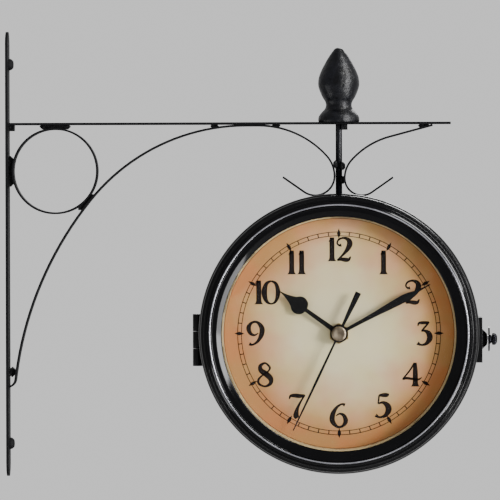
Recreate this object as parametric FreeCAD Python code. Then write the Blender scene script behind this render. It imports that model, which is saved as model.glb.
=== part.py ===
"""Double sided station clock on a wrought wall bracket, in millimetres.

A flat iron bracket is screwed to a wall. Its arm carries a round post, and a drum with a dial on each face
hangs and turns on that post. The front half of the drum swings open on a side hinge, held shut by a thumb
nut, so that the batteries and the setting knobs can be reached.

Frame: the origin is on the back face of the wall plate, midway between its two screw holes. +X points from
the wall along the arm, +Z is up, and the front dial faces -Y.
"""

import FreeCAD
import Part
import math
import os

V = FreeCAD.Vector

# ---------------------------------------------------------------- bracket
plate_length = 258.0        # flat bar against the wall
plate_width = 16.0
plate_thickness = 1.5
screw_spacing = 220.0       # between the two wall screw holes
screw_hole_r = 2.5

arm_height = 75.4           # middle of the arm above the origin
arm_thickness = 1.3
arm_width = 12.0
arm_overhang = 10.5         # arm left past the end of the small scroll

strip_thickness = 1.1       # bent flat strip of the brace, hoop and scrolls
strip_width = 10.0

hoop_r = 25.0               # outside of the hoop in the corner
hoop_gap_wall = 2.0         # filled by weld
hoop_gap_arm = 1.7          # filled by weld
brace_gap = 1.0             # between hoop and brace, filled by weld
brace_drop = 145.4          # arm to the foot of the brace's long curve
brace_foot_gap = 3.5        # wall plate to the brace at its foot, filled by weld
brace_flat = 7.3            # length of brace that lies under the arm
hook_r = 5.0                # end of the brace below its foot, bent back to the wall plate
hook_straight = 3.0
hook_gap = 0.1

post_reach = 193.2          # wall to the axis of the post
post_r = 1.9
scroll_gap_left = 0.1       # strip to post, brace side
scroll_gap_right = 0.9      # strip to post, small scroll side
scroll_rise = 15.0          # slope of the small scroll where it leaves the arm, degrees
scroll_run = 25.8           # straight part of the small scroll
left_shoulder_r = 53.5
left_elbow_r = 17.5
left_eye_r = 11.2
right_shoulder_r = 45.4
right_elbow_r = 15.7
right_eye_r = 10.0
elbow_turn = 42.0           # degrees, ends with the strip upright beside the post
eye_turn = 125.0            # degrees, from upright, round the bottom and up again
scroll_tail = 15.0          # straight free end

weld_width = 7.0            # of each weld bead, across the strips
weld_r = 2.6                # of a short bead
bead_proud = 1.4            # of a bead beyond the gap that it fills
long_bead = 18.0
foot_bead = 6.0
brace_bead = 13.0
short_bead = 5.0
brace_tack = 18.0           # bead on the arm, wall side, to where the brace meets the arm
scroll_tack = 10.5          # bead on the arm, post side, to where the brace leaves the arm
post_bead_spread = 8.0      # between the two beads of the small scroll on the post

finial_r = 12.0             # both the bulb and the base
finial_height = 43.1
finial_neck_r = 7.6
finial_neck_height = 9.4
finial_bulb_height = 22.0
finial_shoulder_r = 6.4
finial_shoulder_drop = 6.7  # below the top
finial_tip_r = 2.4
finial_tip_drop = 1.2
finial_ease = 2.6           # height over which base and bulb curve away

# ---------------------------------------------------------------- drum
hang_gap = 2.4              # lowest scroll to the top of the drum band
band_r = 76.5               # outside of the sheet band
sheet = 0.8                 # thickness of band and bezel
seam = 9.0                  # front half ends this far in front of the middle of the drum
seam_gap = 0.3

rim_overhang = 4.0          # rim of a bezel outside the band
step_inset = 0.5            # small step outside the crown, inside the band
crown_inset = 3.6           # crown of a bezel inside the band
bevel_inset = 6.5
opening_inset = 9.4         # edge of the sight opening inside the band
opening_depth = 5.0         # back of the opening behind the crown
bevel_depth = 2.4
step_depth = 3.2
rim_depth = 8.6             # front of the rim behind the crown
rim_length = 4.4
collar_gap = 0.05           # round the end of the band, inside the rim
band_in_rim = 3.4           # end of the band inside the rim

glass_thickness = 2.0
glass_gap = 0.15            # round the glass, inside the bezel's skirt
ring_wall = 3.0             # from the sight opening out to the bezel's skirt
ring_lip = 0.6              # dial ring inside the edge of the sight opening
dial_recess = 10.5          # back of the glass to the face of the dial
dial_thickness = 0.8
tab_count = 4               # bent tabs that hold the dial in the skirt
tab_angle = 9.0             # degrees
tab_reach = 2.4

# ---------------------------------------------------------------- clock movement
movement_size = 55.0
movement_depth = 15.5
movement_corner = 4.0
cover_thickness = 1.2
battery_r = 7.1
battery_length = 50.5
bay_gap = 0.2               # round the battery
contact_thickness = 0.4
contact_width = 9.0
contact_gap = 0.2           # battery to contact, at each end
bay_edge = 2.0              # wall under the battery
bay_wall = 0.7              # wall between the battery and the dial
lid_setback = 0.6           # edge of the cover above the battery trough
bush_r = 3.9
nut_flats = 10.5
nut_thickness = 2.5
bush_proud = 0.6            # bush beyond its nut
running_gap = 0.05          # radial, at every turning fit
pipe_r = 2.6                # hour pipe
pipe_proud = 1.7            # each arbor ends this far beyond the one outside it
arbor_depth = 6.0           # back of the movement to the end of the arbors' bore
arbor_step = 1.0            # the second arbor starts this far behind the hour pipe
minute_arbor_r = 1.6
second_arbor_r = 0.5
set_knob_r = 4.5
set_knob_length = 2.4
set_knob_offset = 16.0      # sideways from the hands' axis
set_knob_height = 12.0      # above the hands' axis
set_shaft_r = 1.5
set_shaft_depth = 3.0       # of its hole in the movement
set_knob_gap = 0.3
middle_gap = 0.3            # setting knob to the middle of the drum

hand_thickness = 0.5
hour_collet_r = 4.2
minute_collet_r = 5.1
hour_share = 0.656          # lengths of the hands as shares of the sight opening's radius
minute_share = 0.887
second_share = 0.917
tail_share = 0.387          # of the second hand, behind its hub
spade_share = 0.636         # of the hour hand, hub to the middle of the spade
hour_spade_r = 5.3
minute_width = 3.5
second_width = 1.2          # at the hub
tail_width = 2.9            # at the end of the second hand's tail
cap_r = 4.25
cap_height = 1.5
collet_height = 1.2
hour_angle = 305.6          # degrees clockwise from twelve, a little after ten past ten
minute_angle = 61.7
second_angle = 205.4

# ---------------------------------------------------------------- swivel, hinge and latch
swivel_gap = 0.3            # flat running gap above and below the drum band
saddle_half_width = 11.0    # thickening plate inside the top of the band
saddle_depth = 14.0
saddle_thickness = 2.5
swivel_washer_r = 5.0
swivel_washer_thickness = 1.0
lock_nut_flats = 7.0
lock_nut_thickness = 3.2
post_below_nuts = 1.0

fittings_drop = 4.0         # hinge and latch are this far below the dial's centre
hinge_height = 30.0
hinge_knuckles = 3
knuckle_r = 2.8
knuckle_gap = 0.2           # between neighbouring knuckles
hinge_offset = 5.4          # pin axis outside the band
hinge_pin_r = 1.2
leaf_thickness = 1.4
leaf_reach = 12.0
leaf_gap = 0.3              # leaf edge to the seam
web_thickness = 1.6

stud_setback = 9.0          # stud behind the seam
stud_r = 2.0
stud_collar_r = 4.0
latch_standoff = 4.2        # band to the hasp plate
latch_thickness = 1.8
latch_height = 26.0
latch_foot = 10.5           # length of the hasp's foot on the front band
latch_edge = 7.5            # hasp past the stud
boss_base_r = 6.4
boss_top_r = 3.2
boss_height = 3.1
slot_gap = 0.3
thumb_washer_r = 7.1
thumb_washer_thickness = 0.9
thumb_gap = 0.6             # washer to boss when shut, so that the hasp swings clear
knob_neck_r = 2.9
knob_neck = 1.4
knob_head_r = 3.5
knob_head = 3.0
stud_in_knob = 3.6

# ---------------------------------------------------------------- worked out from the sizes above
arm_under = arm_height - arm_thickness / 2
arm_top = arm_height + arm_thickness / 2
strip_line = arm_under - strip_thickness / 2


def heading_vector(degrees):
    """Unit vector in the XZ plane, measured from +X towards +Z."""
    return V(math.cos(math.radians(degrees)), 0, math.sin(math.radians(degrees)))


def left_of(degrees):
    return heading_vector(degrees + 90)


def follow(start, heading, bends):
    """Point and heading at the end of a row of bends, each (radius, turn) or (None, straight length).

    A positive turn, in degrees, bends to the left.
    """
    point = start
    for radius, amount in bends:
        if radius is None:
            point = point + heading_vector(heading) * amount
            continue
        side = math.copysign(1, amount)
        centre = point + left_of(heading) * (radius * side)
        heading = heading + amount
        point = centre - left_of(heading) * (radius * side)
    return point, heading


def strip(start, heading, bends, thickness=strip_thickness, width=strip_width):
    """Flat strip bent in the XZ plane along a row of bends, centred on its middle line."""
    first = start, heading
    sides = {1: [], -1: []}
    for bend in bends:
        radius, amount = bend
        middle = follow(start, heading, [(radius, amount / 2)])
        end = follow(start, heading, [bend])
        for side, edges in sides.items():
            a, m, b = (p + left_of(h) * (side * thickness / 2) for p, h in ((start, heading), middle, end))
            edges.append((Part.LineSegment(a, b) if radius is None else Part.Arc(a, m, b)).toShape())
        start, heading = end
    for point, angle in (first, (start, heading)):
        across = left_of(angle) * (thickness / 2)
        sides[1].append(Part.LineSegment(point + across, point - across).toShape())
    face = Part.Face(Part.Wire(Part.__sortEdges__(sides[1] + sides[-1])))
    face.translate(V(0, -width / 2, 0))
    return face.extrude(V(0, width, 0))


def cylinder(radius, base, top):
    """Round bar from one point to another."""
    axis = top - base
    return Part.makeCylinder(radius, axis.Length, base, axis)


def box(low, high):
    return Part.makeBox(high.x - low.x, high.y - low.y, high.z - low.z, low)


def outline(points):
    """Closed wire through points; an entry (middle, end) is an arc from the point before it."""
    edges = []
    last = points[0]
    for entry in list(points[1:]) + [points[0]]:
        if isinstance(entry, tuple):
            edges.append(Part.Arc(last, *entry).toShape())
            last = entry[1]
        elif (entry - last).Length > 1e-6:
            edges.append(Part.LineSegment(last, entry).toShape())
            last = entry
    return Part.Wire(edges)


def hexagon(flats, thickness, base, axis):
    """Hexagonal nut blank, standing on base along the unit vector axis."""
    across = V(0, 0, 1) if abs(axis.z) < 0.5 else V(1, 0, 0)
    turn = FreeCAD.Rotation(axis, 60)
    corner = across * (flats / math.sqrt(3))
    corners = []
    for _ in range(6):
        corners.append(base + corner)
        corner = turn.multVec(corner)
    return Part.Face(Part.makePolygon(corners + corners[:1])).extrude(axis * thickness)


# ---------------------------------------------------------------- bracket pieces
left_bends = [(left_shoulder_r, elbow_turn - 90), (left_elbow_r, -elbow_turn)]
right_bends = [(None, scroll_run), (right_shoulder_r, 90 - scroll_rise - elbow_turn),
               (right_elbow_r, elbow_turn)]


def scroll_starts():
    """X where the brace leaves the arm beside the post, and where the small scroll meets the arm."""
    upright_left, _ = follow(V(0, 0, 0), 0, left_bends)
    upright_right, _ = follow(V(0, 0, 0), 180 + scroll_rise, right_bends)
    half = strip_thickness / 2
    return (post_reach - post_r - scroll_gap_left - half - upright_left.x,
            post_reach + post_r + scroll_gap_right + half - upright_right.x)


left_start, right_start = scroll_starts()
brace_touch = left_start - brace_flat
arm_end = right_start + arm_overhang
hoop_centre = V(plate_thickness + hoop_gap_wall + hoop_r, 0, arm_under - hoop_gap_arm - hoop_r)


def brace_path():
    """Start, heading and bends of the brace: wall, past the hoop, under the arm, down beside the post."""
    reach = hoop_r + brace_gap + strip_thickness / 2
    run = brace_touch - hoop_centre.x
    rise = strip_line - hoop_centre.z
    upper_r = (run ** 2 + rise ** 2 - reach ** 2) / (2 * (reach + rise))
    upper_centre = V(brace_touch, 0, strip_line - upper_r)
    towards_hoop = (hoop_centre - upper_centre).normalize()
    past_hoop = upper_centre + towards_hoop * upper_r
    upper_turn = math.degrees(math.atan2(-towards_hoop.x, towards_hoop.z))
    foot = V(plate_thickness + brace_foot_gap + strip_thickness / 2, 0, arm_height - brace_drop)
    chord = foot - past_hoop
    lower_r = chord.Length ** 2 / (-2 * chord.dot(towards_hoop))
    lower_turn = 2 * math.degrees(math.asin(chord.Length / (2 * lower_r)))
    lean = upper_turn + lower_turn
    rising = heading_vector(lean)
    hook_reach = brace_foot_gap + strip_thickness / 2 - hook_gap - hook_straight * rising.x
    start_lean = math.degrees(math.asin((hook_r * rising.z - hook_reach) / (hook_r - strip_thickness / 2)))
    start, _ = follow(foot, lean + 180, [(None, hook_straight), (hook_r, start_lean - lean)])
    bends = [(hook_r, lean - start_lean), (None, hook_straight), (lower_r, -lower_turn),
             (upper_r, -upper_turn), (None, brace_flat)]
    return start, start_lean, bends + left_bends + [(left_eye_r, -eye_turn), (None, scroll_tail)]


def scroll_path():
    bends = right_bends + [(right_eye_r, eye_turn), (None, scroll_tail)]
    return V(right_start, 0, strip_line), 180 + scroll_rise, bends


def lowest_scroll():
    """Height of the underside of the lower of the two scroll eyes."""
    left, _ = follow(V(left_start, 0, strip_line), 0, left_bends + [(left_eye_r, -90)])
    right, _ = follow(V(right_start, 0, strip_line), 180 + scroll_rise, right_bends + [(right_eye_r, 90)])
    return min(left.z, right.z) - strip_thickness / 2


drum = V(post_reach, 0, lowest_scroll() - hang_gap - band_r)
opening_r = band_r - opening_inset
bevel_r = band_r - bevel_inset
crown_r = band_r - crown_inset
step_r = band_r - step_inset
rim_r = band_r + rim_overhang


def wall_plate():
    """Flat bar with round ends and two screw holes."""
    end_r = plate_width / 2
    straight = plate_length / 2 - end_r
    wire = outline([V(0, -end_r, -straight),
                    (V(0, 0, -straight - end_r), V(0, end_r, -straight)),
                    V(0, end_r, straight),
                    (V(0, 0, straight + end_r), V(0, -end_r, straight))])
    plate = Part.Face(wire).extrude(V(plate_thickness, 0, 0))
    for side in (-1, 1):
        height = side * screw_spacing / 2
        plate = plate.cut(cylinder(screw_hole_r, V(-1, 0, height), V(plate_thickness + 1, 0, height)))
    return plate


def arm_bar():
    """Horizontal flat bar, drilled for the post."""
    bar = box(V(plate_thickness, -arm_width / 2, arm_under), V(arm_end, arm_width / 2, arm_top))
    return bar.cut(cylinder(post_r, V(post_reach, 0, arm_under - 1), V(post_reach, 0, arm_top + 1)))


def hoop_ring():
    """Strip rolled into a closed hoop."""
    half = V(0, strip_width / 2, 0)
    outer = cylinder(hoop_r, hoop_centre - half, hoop_centre + half)
    return outer.cut(cylinder(hoop_r - strip_thickness, hoop_centre - half * 2, hoop_centre + half * 2))


post_bottom = (drum.z + band_r - sheet - saddle_thickness - swivel_gap - swivel_washer_thickness
               - 2 * lock_nut_thickness - post_below_nuts)


def post_rod():
    """Round rod through the arm: the axis that the drum turns on."""
    return cylinder(post_r, V(post_reach, 0, post_bottom), V(post_reach, 0, arm_top))


def swivel_washer():
    """Washer under the drum's saddle: the drum's weight rests on it."""
    top = drum.z + band_r - sheet - saddle_thickness - swivel_gap
    washer = cylinder(swivel_washer_r, V(post_reach, 0, top - swivel_washer_thickness), V(post_reach, 0, top))
    return washer.cut(post_rod())


def lock_nuts():
    """Two hexagonal nuts locked against each other below the washer."""
    top = drum.z + band_r - sheet - saddle_thickness - swivel_gap - swivel_washer_thickness
    bases = [V(post_reach, 0, top - i * lock_nut_thickness) for i in (1, 2)]
    nuts = [hexagon(lock_nut_flats, lock_nut_thickness, base, V(0, 0, 1)) for base in bases]
    return Part.makeCompound([nut.cut(post_rod()) for nut in nuts])


def finial_post():
    """Turned bud with a spreading base, narrow neck and pointed bulb, in one piece with its rod."""
    neck, bulb, top = finial_neck_height, finial_bulb_height, finial_height
    shoulder = top - finial_shoulder_drop

    def at(radius, height):
        return V(post_reach + radius, 0, arm_top + height)

    wire = outline([
        at(0, 0), at(finial_r, 0), at(finial_r * 0.97, finial_ease), at(finial_r * 0.83, neck * 0.6),
        at(finial_neck_r, neck * 0.88), at(finial_neck_r, neck * 1.1),
        at(finial_r * 0.84, (neck + bulb) / 2), at(finial_r * 0.975, bulb - finial_ease),
        at(finial_r * 0.99, bulb + finial_ease / 2), at(finial_r * 0.86, (bulb + shoulder) / 2),
        at(finial_shoulder_r, shoulder), at(finial_tip_r, top - finial_tip_drop), at(0, top)])
    body = Part.Face(wire).revolve(V(post_reach, 0, 0), V(0, 0, 1), 360)
    return body.fuse(post_rod())


def bead(centre, along, across, angle, around):
    """Weld bead with tapered ends, lying at an angle in the XZ plane, fitted against the pieces around it."""
    run = heading_vector(angle) * (max(along - across, 0.01) / 2)
    side = left_of(angle) * (across / 2)
    tip = heading_vector(angle) * (across / 2)
    wire = outline([centre - run - side, centre + run - side, centre + run + tip, centre + run + side,
                    centre - run + side, centre - run - tip])
    face = Part.Face(wire)
    face.translate(V(0, -weld_width / 2, 0))
    left = face.extrude(V(0, weld_width, 0)).cut(around)
    return min(left.Solids, key=lambda solid: (solid.CenterOfMass - centre).Length - solid.Volume)


def frame_welds(strips):
    """All the weld beads that join the bracket into one frame."""
    half = V(0, strip_width, 0)
    hoop_space = cylinder(hoop_r, hoop_centre - half, hoop_centre + half)
    around = hoop_space.multiFuse(strips)
    toward_brace = heading_vector(-45)
    hoop_to_brace = hoop_r + brace_gap / 2
    beside_post = V(post_reach + post_r + scroll_gap_right / 2, 0, 0)
    shoulder_turn = math.radians(90 - elbow_turn)
    upright = arm_under - left_shoulder_r * (1 - math.cos(shoulder_turn)) - left_elbow_r * 0.6
    spots = [
        (V(plate_thickness + weld_r * 0.6, 0, arm_under - weld_r * 0.6), 2 * weld_r, 2 * weld_r, -45),
        (V(plate_thickness + hoop_gap_wall / 2, 0, hoop_centre.z), long_bead, hoop_gap_wall + bead_proud, 90),
        (V(hoop_centre.x, 0, arm_under - hoop_gap_arm / 2), long_bead, hoop_gap_arm + bead_proud, 0),
        (hoop_centre + toward_brace * hoop_to_brace, brace_bead, brace_gap + bead_proud, 45),
        (V(plate_thickness + brace_foot_gap / 2, 0, arm_height - brace_drop + foot_bead / 4), foot_bead,
         brace_foot_gap + bead_proud, 90),
        (V(brace_touch - brace_tack, 0, arm_under - weld_r / 3), short_bead, weld_r, 0),
        (V(left_start + scroll_tack, 0, arm_under - weld_r / 5), short_bead, weld_r, 0),
        (V(right_start - short_bead, 0, arm_under - weld_r / 3), short_bead * 1.4, weld_r, 0),
        (V(post_reach + post_r + weld_r / 2, 0, arm_under - weld_r / 2), 2 * weld_r, 2 * weld_r, -45),
        (V(post_reach - post_r - scroll_gap_left, 0, upright + short_bead), short_bead, weld_r, 90),
        (beside_post + V(0, 0, upright + post_bead_spread / 2), short_bead, weld_r, 90),
        (beside_post + V(0, 0, upright - post_bead_spread / 2), short_bead, weld_r, 90),
    ]
    return Part.makeCompound([bead(*spot, around) for spot in spots])


# ---------------------------------------------------------------- pieces of the drum
# Each face of the drum is built facing -Y round an axis through the drum's centre, with places along that axis
# given as the distance from the middle of the drum. The rear face is the same thing turned half round.
def out(distance):
    """Point on the dial axis, a distance in front of the middle of the drum."""
    return drum - V(0, distance, 0)


def turned(profile):
    """Solid of revolution about the dial axis from (radius, distance) points."""
    points = [out(distance) + V(radius, 0, 0) for radius, distance in profile]
    return Part.Face(outline(points)).revolve(drum, V(0, 1, 0), 360)


def disc(radius, back, front, hole=0.0):
    """Round plate across the dial axis."""
    plate = cylinder(radius, out(back), out(front))
    return plate.cut(cylinder(hole, out(back - 1), out(front + 1))) if hole else plate


def on_face(shape, face):
    """Turns a shape that was built for the front face to the rear one."""
    if face == "rear":
        shape.rotate(drum, V(0, 0, 1), 180)
    return shape


hour_length = opening_r * hour_share
hour_spade = hour_length * spade_share
minute_length = opening_r * minute_share
second_length = opening_r * second_share
second_tail = opening_r * tail_share
behind_dial = movement_depth + cover_thickness + set_knob_gap + set_knob_length + middle_gap
half_depth = opening_depth + glass_thickness + dial_recess + dial_thickness + behind_dial
glass_front = half_depth - opening_depth
glass_back = glass_front - glass_thickness
dial_front = glass_back - dial_recess
dial_back = dial_front - dial_thickness
skirt_r = opening_r + ring_wall
glass_r = skirt_r - glass_gap
skirt_end = dial_back - sheet
band_end = half_depth - rim_depth - rim_length + band_in_rim
nut_front = dial_front + nut_thickness
bush_end = nut_front + bush_proud
pipe_end = bush_end + pipe_proud
minute_end = pipe_end + pipe_proud
second_end = minute_end + pipe_proud
movement_back = dial_back - movement_depth
cover_back = movement_back - cover_thickness
hinge_axis = drum + V(-band_r - hinge_offset, -seam, -fittings_drop)
stud_axis = drum + V(band_r, stud_setback - seam, -fittings_drop)


def bezel():
    """Pressed ring: bevelled sight opening, crown, stepped flank, straight rim over the band, inner skirt."""
    crown = half_depth
    rim = crown - rim_depth
    ring = turned([
        (opening_r, glass_front),
        (bevel_r, crown - bevel_depth),
        (crown_r, crown),
        (step_r, crown - step_depth),
        (rim_r, rim),
        (rim_r, rim - rim_length),
        (band_r + collar_gap, rim - rim_length),
        (band_r + collar_gap, rim),
        (skirt_r + sheet, crown - bevel_depth - 2 * sheet),
        (skirt_r + sheet, skirt_end),
        (skirt_r, skirt_end),
        (skirt_r, glass_front),
    ])
    tabs = []
    for i in range(tab_count):
        arc = Part.makeCylinder(skirt_r + sheet / 2, sheet, out(skirt_end), V(0, -1, 0), tab_angle)
        arc = arc.cut(cylinder(skirt_r - tab_reach, out(skirt_end - 1), out(skirt_end + 2)))
        arc.rotate(drum, V(0, 1, 0), i * 360 / tab_count)
        tabs.append(arc)
    return ring.multiFuse(tabs).removeSplitter()


def glass():
    return disc(glass_r, glass_back, glass_front)


def dial_ring():
    """Pale spacer between glass and dial, the side wall seen round the dial."""
    return disc(glass_r, dial_front, glass_back, opening_r - ring_lip)


def dial():
    return disc(glass_r, dial_back, dial_front, bush_r)


def front_shell():
    """Band of the front half, from the seam to its bezel."""
    return disc(band_r, seam + seam_gap / 2, band_end, band_r - sheet)


def rear_shell():
    """Band of the rear half, pierced for the post and the latch stud."""
    shell = disc(band_r, -band_end, seam - seam_gap / 2, band_r - sheet)
    shell = shell.cut(cylinder(post_r + running_gap, drum, V(post_reach, 0, drum.z + rim_r)))
    return shell.cut(cylinder(stud_r, stud_axis - V(sheet * 4, 0, 0), stud_axis + V(sheet * 4, 0, 0)))


def saddle():
    """Plate inside the top of the band that spreads the drum's weight, round above and flat below."""
    top = band_r - sheet
    block = box(drum + V(-saddle_half_width, -saddle_depth / 2, top - saddle_thickness),
                drum + V(saddle_half_width, saddle_depth / 2, top))
    block = block.common(disc(top, -saddle_depth, saddle_depth))
    return block.cut(cylinder(post_r + running_gap, drum, V(post_reach, 0, drum.z + band_r)))


def centre_nut():
    """Hexagonal nut that clamps the dial to the movement's bush."""
    nut = hexagon(nut_flats, nut_thickness, out(dial_front), V(0, -1, 0))
    return nut.cut(disc(bush_r, dial_front - 1, nut_front + 1))


def movement_block(size, back, front, corner):
    """Square block with cut corners on the dial axis."""
    block = box(out(front) - V(size / 2, 0, size / 2), out(back) + V(size / 2, 0, size / 2))
    upright = [e for e in block.Edges if abs(e.Vertexes[0].Point.y - e.Vertexes[-1].Point.y) > 1]
    return block.makeChamfer(corner, upright)


bay_r = battery_r + bay_gap
bay_length = battery_length + 2 * (contact_thickness + contact_gap)
bay_axis_z = -movement_size / 2 + bay_edge + bay_r
bay_axis_out = dial_back - bay_wall - bay_r


def battery_bay():
    """Round-bottomed trough open to the back of the movement."""
    middle = out(bay_axis_out) + V(0, 0, bay_axis_z)
    half = V(bay_length / 2, 0, 0)
    trough = cylinder(bay_r, middle - half, middle + half)
    mouth = box(middle - half - V(0, 0, bay_r), middle + half + V(0, bay_r + 5, bay_r))
    return trough.fuse(mouth)


def set_knob_place():
    return V(-set_knob_offset, 0, set_knob_height)


def movement():
    """Moulded quartz movement: sealed case with the battery trough behind and a bored bush in front."""
    body = movement_block(movement_size, movement_back, dial_back, movement_corner).cut(battery_bay())
    body = body.fuse(disc(bush_r, dial_back - 1, bush_end))
    body = body.cut(disc(pipe_r + running_gap, movement_back + arbor_depth, bush_end + 1))
    shaft = out(movement_back + set_shaft_depth) + set_knob_place()
    return body.cut(cylinder(set_shaft_r + running_gap, shaft, shaft + V(0, set_shaft_depth + 1, 0)))


def movement_cover():
    """Thin lid over the works, beside the battery, with a hole for the setting shaft."""
    lid = movement_block(movement_size, cover_back, movement_back, movement_corner)
    low = out(cover_back) + V(-movement_size, -5, bay_axis_z - movement_size)
    lid = lid.cut(box(low, out(cover_back) + V(movement_size, 5, bay_axis_z + bay_r + lid_setback)))
    shaft = out(movement_back) + set_knob_place()
    return lid.cut(cylinder(set_shaft_r + running_gap, shaft - V(0, 1, 0), shaft + V(0, 5, 0)))


def battery():
    """Round cell that lies in the trough."""
    middle = out(bay_axis_out) + V(0, 0, bay_axis_z)
    half = V(battery_length / 2, 0, 0)
    return cylinder(battery_r, middle - half, middle + half)


def battery_contacts():
    """A sprung metal strip at each end of the trough."""
    strips = []
    for side in (-1, 1):
        outer = side * bay_length / 2
        inner = outer - side * contact_thickness
        low, high = min(outer, inner), max(outer, inner)
        middle = out(bay_axis_out) + V(0, 0, bay_axis_z)
        strips.append(box(middle + V(low, -bay_r * 0.6, -contact_width / 2),
                          middle + V(high, bay_r * 0.8, contact_width / 2)))
    return Part.makeCompound(strips)


def set_knob():
    """Knob with flat grips on a short shaft, turned by hand to set the time."""
    face = out(cover_back - set_knob_gap) + set_knob_place()
    inner = out(movement_back + set_shaft_depth - set_knob_gap) + set_knob_place()
    knob = cylinder(set_knob_r, face, face + V(0, set_knob_length, 0))
    grips = hexagon(set_knob_r * 1.9, set_knob_length, face, V(0, 1, 0))
    return knob.common(grips).fuse(cylinder(set_shaft_r, inner, face))


# ---------------------------------------------------------------- hands
def hand_plate(points, back):
    """Flat hand cut from sheet: points are (sideways, upwards) from the hub for a hand at twelve."""
    def place(p):
        return out(back) + V(p[0], 0, p[1])

    wire = outline([tuple(place(p) for p in entry) if isinstance(entry[0], tuple) else place(entry)
                    for entry in points])
    return Part.Face(wire).extrude(V(0, -hand_thickness, 0))


def set_to(shape, angle):
    """Turns a hand clockwise, seen from in front, from twelve."""
    shape.rotate(drum, V(0, 1, 0), angle)
    return shape


def hour_hand():
    """Spade hand on its collet, with the hour pipe that turns in the movement's bush."""
    back = pipe_end - collet_height
    r, c, tip = hour_spade_r, hour_spade, hour_length
    plate = hand_plate([(-1.5, 0), (1.5, 0), (1.15, c - r + 0.6),
                        ((r, c - 0.3), (r * 0.62, c + r * 0.72)),
                        ((r * 0.25, c + r * 1.6), (0.15, tip)), (-0.15, tip),
                        ((-r * 0.25, c + r * 1.6), (-r * 0.62, c + r * 0.72)),
                        ((-r, c - 0.3), (-1.15, c - r + 0.6))], back)
    pipe = disc(pipe_r, movement_back + arbor_depth + arbor_step, pipe_end)
    hand = plate.multiFuse([disc(hour_collet_r, back, pipe_end), pipe])
    bore = disc(minute_arbor_r + running_gap, movement_back, minute_end)
    return set_to(hand.cut(bore), hour_angle)


def minute_hand():
    """Slim leaf hand on its collet, with the minute arbor that turns in the hour pipe."""
    back = minute_end - collet_height
    w, length = minute_width / 2, minute_length
    plate = hand_plate([(-0.8, 0), (0.8, 0), (0.9, length * 0.2),
                        ((w, length * 0.6), (w * 0.55, length * 0.82)), (0.1, length), (-0.1, length),
                        (-w * 0.55, length * 0.82), ((-w, length * 0.6), (-0.9, length * 0.2))], back)
    arbor = disc(minute_arbor_r, movement_back + arbor_depth + arbor_step / 2, minute_end)
    hand = plate.multiFuse([disc(minute_collet_r, back, minute_end), arbor])
    bore = disc(second_arbor_r + running_gap, movement_back, minute_end + 1)
    return set_to(hand.cut(bore), minute_angle)


def second_hand():
    """Needle hand with a heavier tail and a small round hub, with its thin arbor."""
    back = second_end - hand_thickness
    w, tail = second_width / 2, tail_width / 2
    plate = hand_plate([(-w, 0), (-tail * 0.6, -cap_r), (-tail, -second_tail), (tail, -second_tail),
                        (tail * 0.6, -cap_r), (w, 0), (w * 0.4, second_length), (-w * 0.4, second_length)],
                       back)
    arbor = disc(second_arbor_r, movement_back + arbor_depth, second_end)
    return set_to(plate.multiFuse([disc(cap_r * 0.8, back, second_end), arbor]), second_angle)


def hub_cap():
    """Spun metal cap on the second hand's hub."""
    return turned([(0, second_end), (cap_r, second_end), (cap_r, second_end + cap_height * 0.6),
                   (cap_r * 0.85, second_end + cap_height), (0, second_end + cap_height)])


# ---------------------------------------------------------------- hinge and latch
def hinge_leaf(rear):
    """Curved leaf on the band with every other knuckle; the rear half has the outer knuckles."""
    side = 1 if rear else -1
    reach = side * (leaf_gap + leaf_reach)
    start = side * leaf_gap
    low_y, high_y = sorted((reach, start))
    height = V(0, 0, hinge_height / 2)
    space = box(hinge_axis + V(0, low_y, 0) - height,
                hinge_axis + V(hinge_offset + band_r, high_y, 0) + height)
    leaf = disc(band_r + leaf_thickness, -half_depth, half_depth, band_r).common(space)
    low_y, high_y = sorted((start, start + side * web_thickness))
    step = hinge_height / hinge_knuckles
    pieces = []
    for i in range(hinge_knuckles):
        if (i % 2 == 0) != rear:
            continue
        low = hinge_axis + V(0, 0, -hinge_height / 2 + i * step + (knuckle_gap / 2 if i else 0))
        tall = V(0, 0, step - (knuckle_gap / 2 if i in (0, hinge_knuckles - 1) else knuckle_gap))
        pieces.append(cylinder(knuckle_r, low, low + tall))
        web = box(low + V(0, low_y, 0), low + V(hinge_offset * 2, high_y, 0) + tall)
        pieces.append(web.cut(disc(band_r, -half_depth, half_depth)))
    bore = hinge_pin_r if rear else hinge_pin_r + running_gap
    end = V(0, 0, hinge_height)
    return leaf.multiFuse(pieces).removeSplitter().cut(cylinder(bore, hinge_axis - end, hinge_axis + end))


def hinge_pin():
    """Plain pin, driven into the two outer knuckles."""
    half = V(0, 0, hinge_height / 2)
    return cylinder(hinge_pin_r, hinge_axis - half, hinge_axis + half)


plate_inner = latch_standoff
plate_outer = plate_inner + latch_thickness
boss_end = plate_outer + boss_height
washer_start = boss_end + thumb_gap
knob_start = washer_start + thumb_washer_thickness
stud_end = knob_start + stud_in_knob


def along_stud(distance):
    """Point on the stud's axis, a distance outside the band."""
    return stud_axis + V(distance, 0, 0)


def latch_stud():
    """Stud riveted into the rear band, with a collar that stops short of the hasp."""
    collar = cylinder(stud_collar_r, along_stud(-1), along_stud(plate_inner - slot_gap))
    collar = collar.cut(disc(band_r, -half_depth, half_depth))
    return cylinder(stud_r, along_stud(-2 * sheet), along_stud(stud_end)).fuse(collar)


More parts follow.
